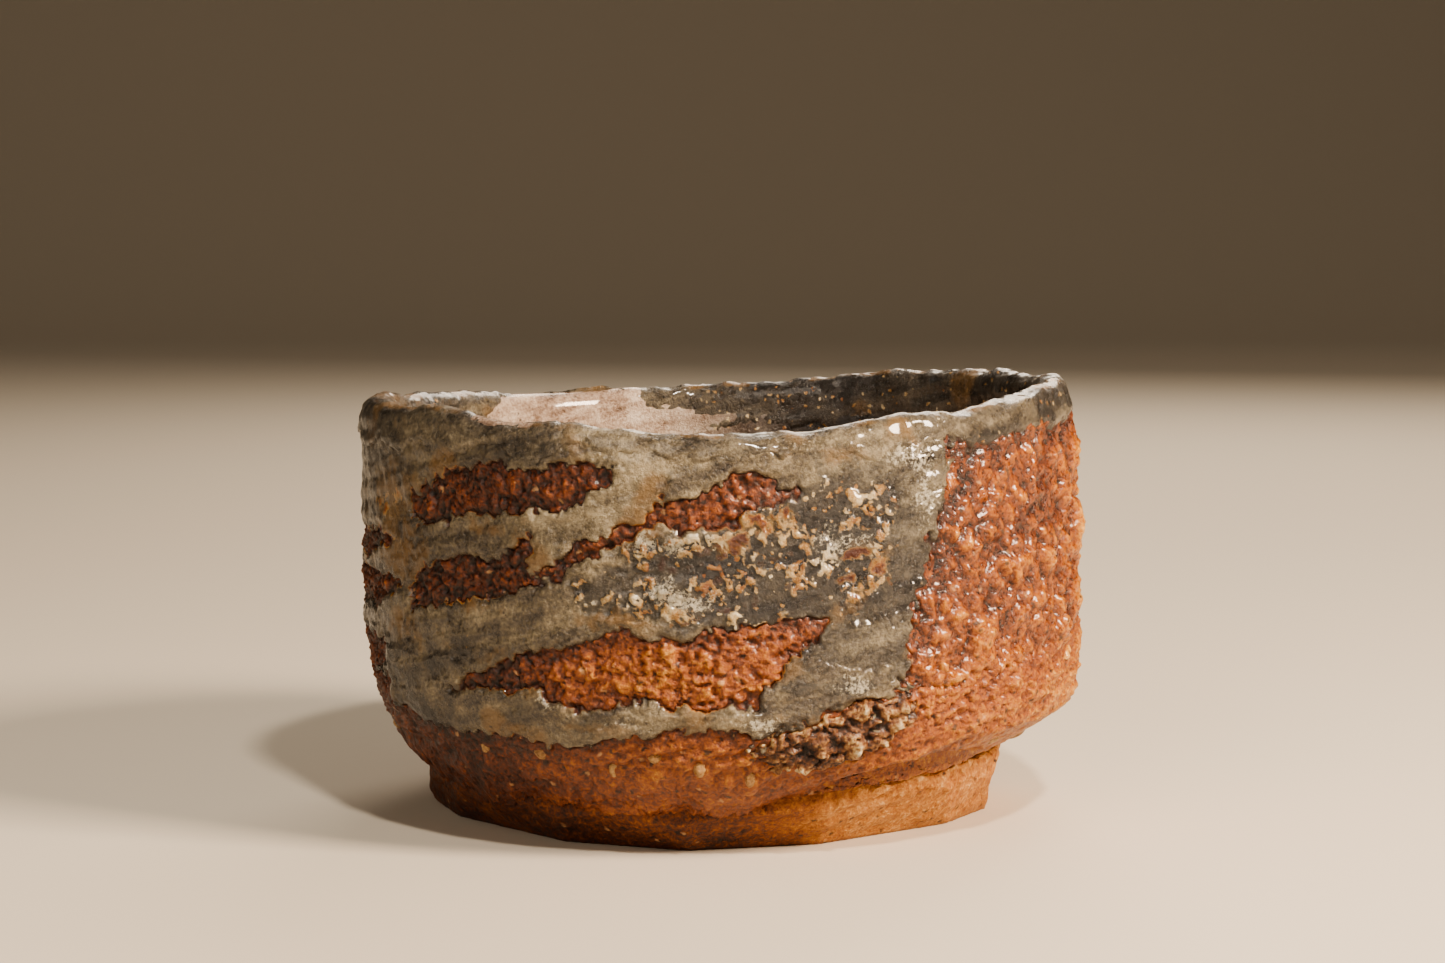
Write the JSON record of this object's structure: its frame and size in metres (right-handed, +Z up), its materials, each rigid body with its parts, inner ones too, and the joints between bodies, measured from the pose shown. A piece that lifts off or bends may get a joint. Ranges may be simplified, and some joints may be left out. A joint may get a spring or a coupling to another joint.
{
  "type": "matcha bowl",
  "caption": "Hand-built matcha bowl of coarse red clay with swept grey ash glaze, an uneven lip and a wide carved foot.",
  "frame": {"origin": "under the middle of the bowl, in the plane that the foot rests on", "axes": "+Z up, -Y towards the front with the wiped streaks, +X to the right seen from the front"},
  "size_m": [0.1229, 0.1231, 0.074],
  "materials": {
    "red_clay": "matte",
    "foot_clay": "matte",
    "inner_glaze": "gloss",
    "lip_glaze": "gloss",
    "ash_glaze": "satin",
    "dark_glaze": "gloss",
    "clear_glaze": "gloss",
    "ash_crust": "matte",
    "feldspar": "satin"
  },
  "bodies": {
    "root": {"clay_body": "red_clay", "foot_ring": "foot_clay", "inner_glaze": "inner_glaze", "lip_glaze": "lip_glaze", "front_glaze": "ash_glaze", "left_glaze": "ash_glaze", "right_panel_glaze": "dark_glaze", "hip_glaze": "ash_glaze", "back_glaze": "ash_glaze", "amber_glaze": "clear_glaze", "ash_crust": "ash_crust", "feldspar_stones": "feldspar"}
  },
  "joints": []
}
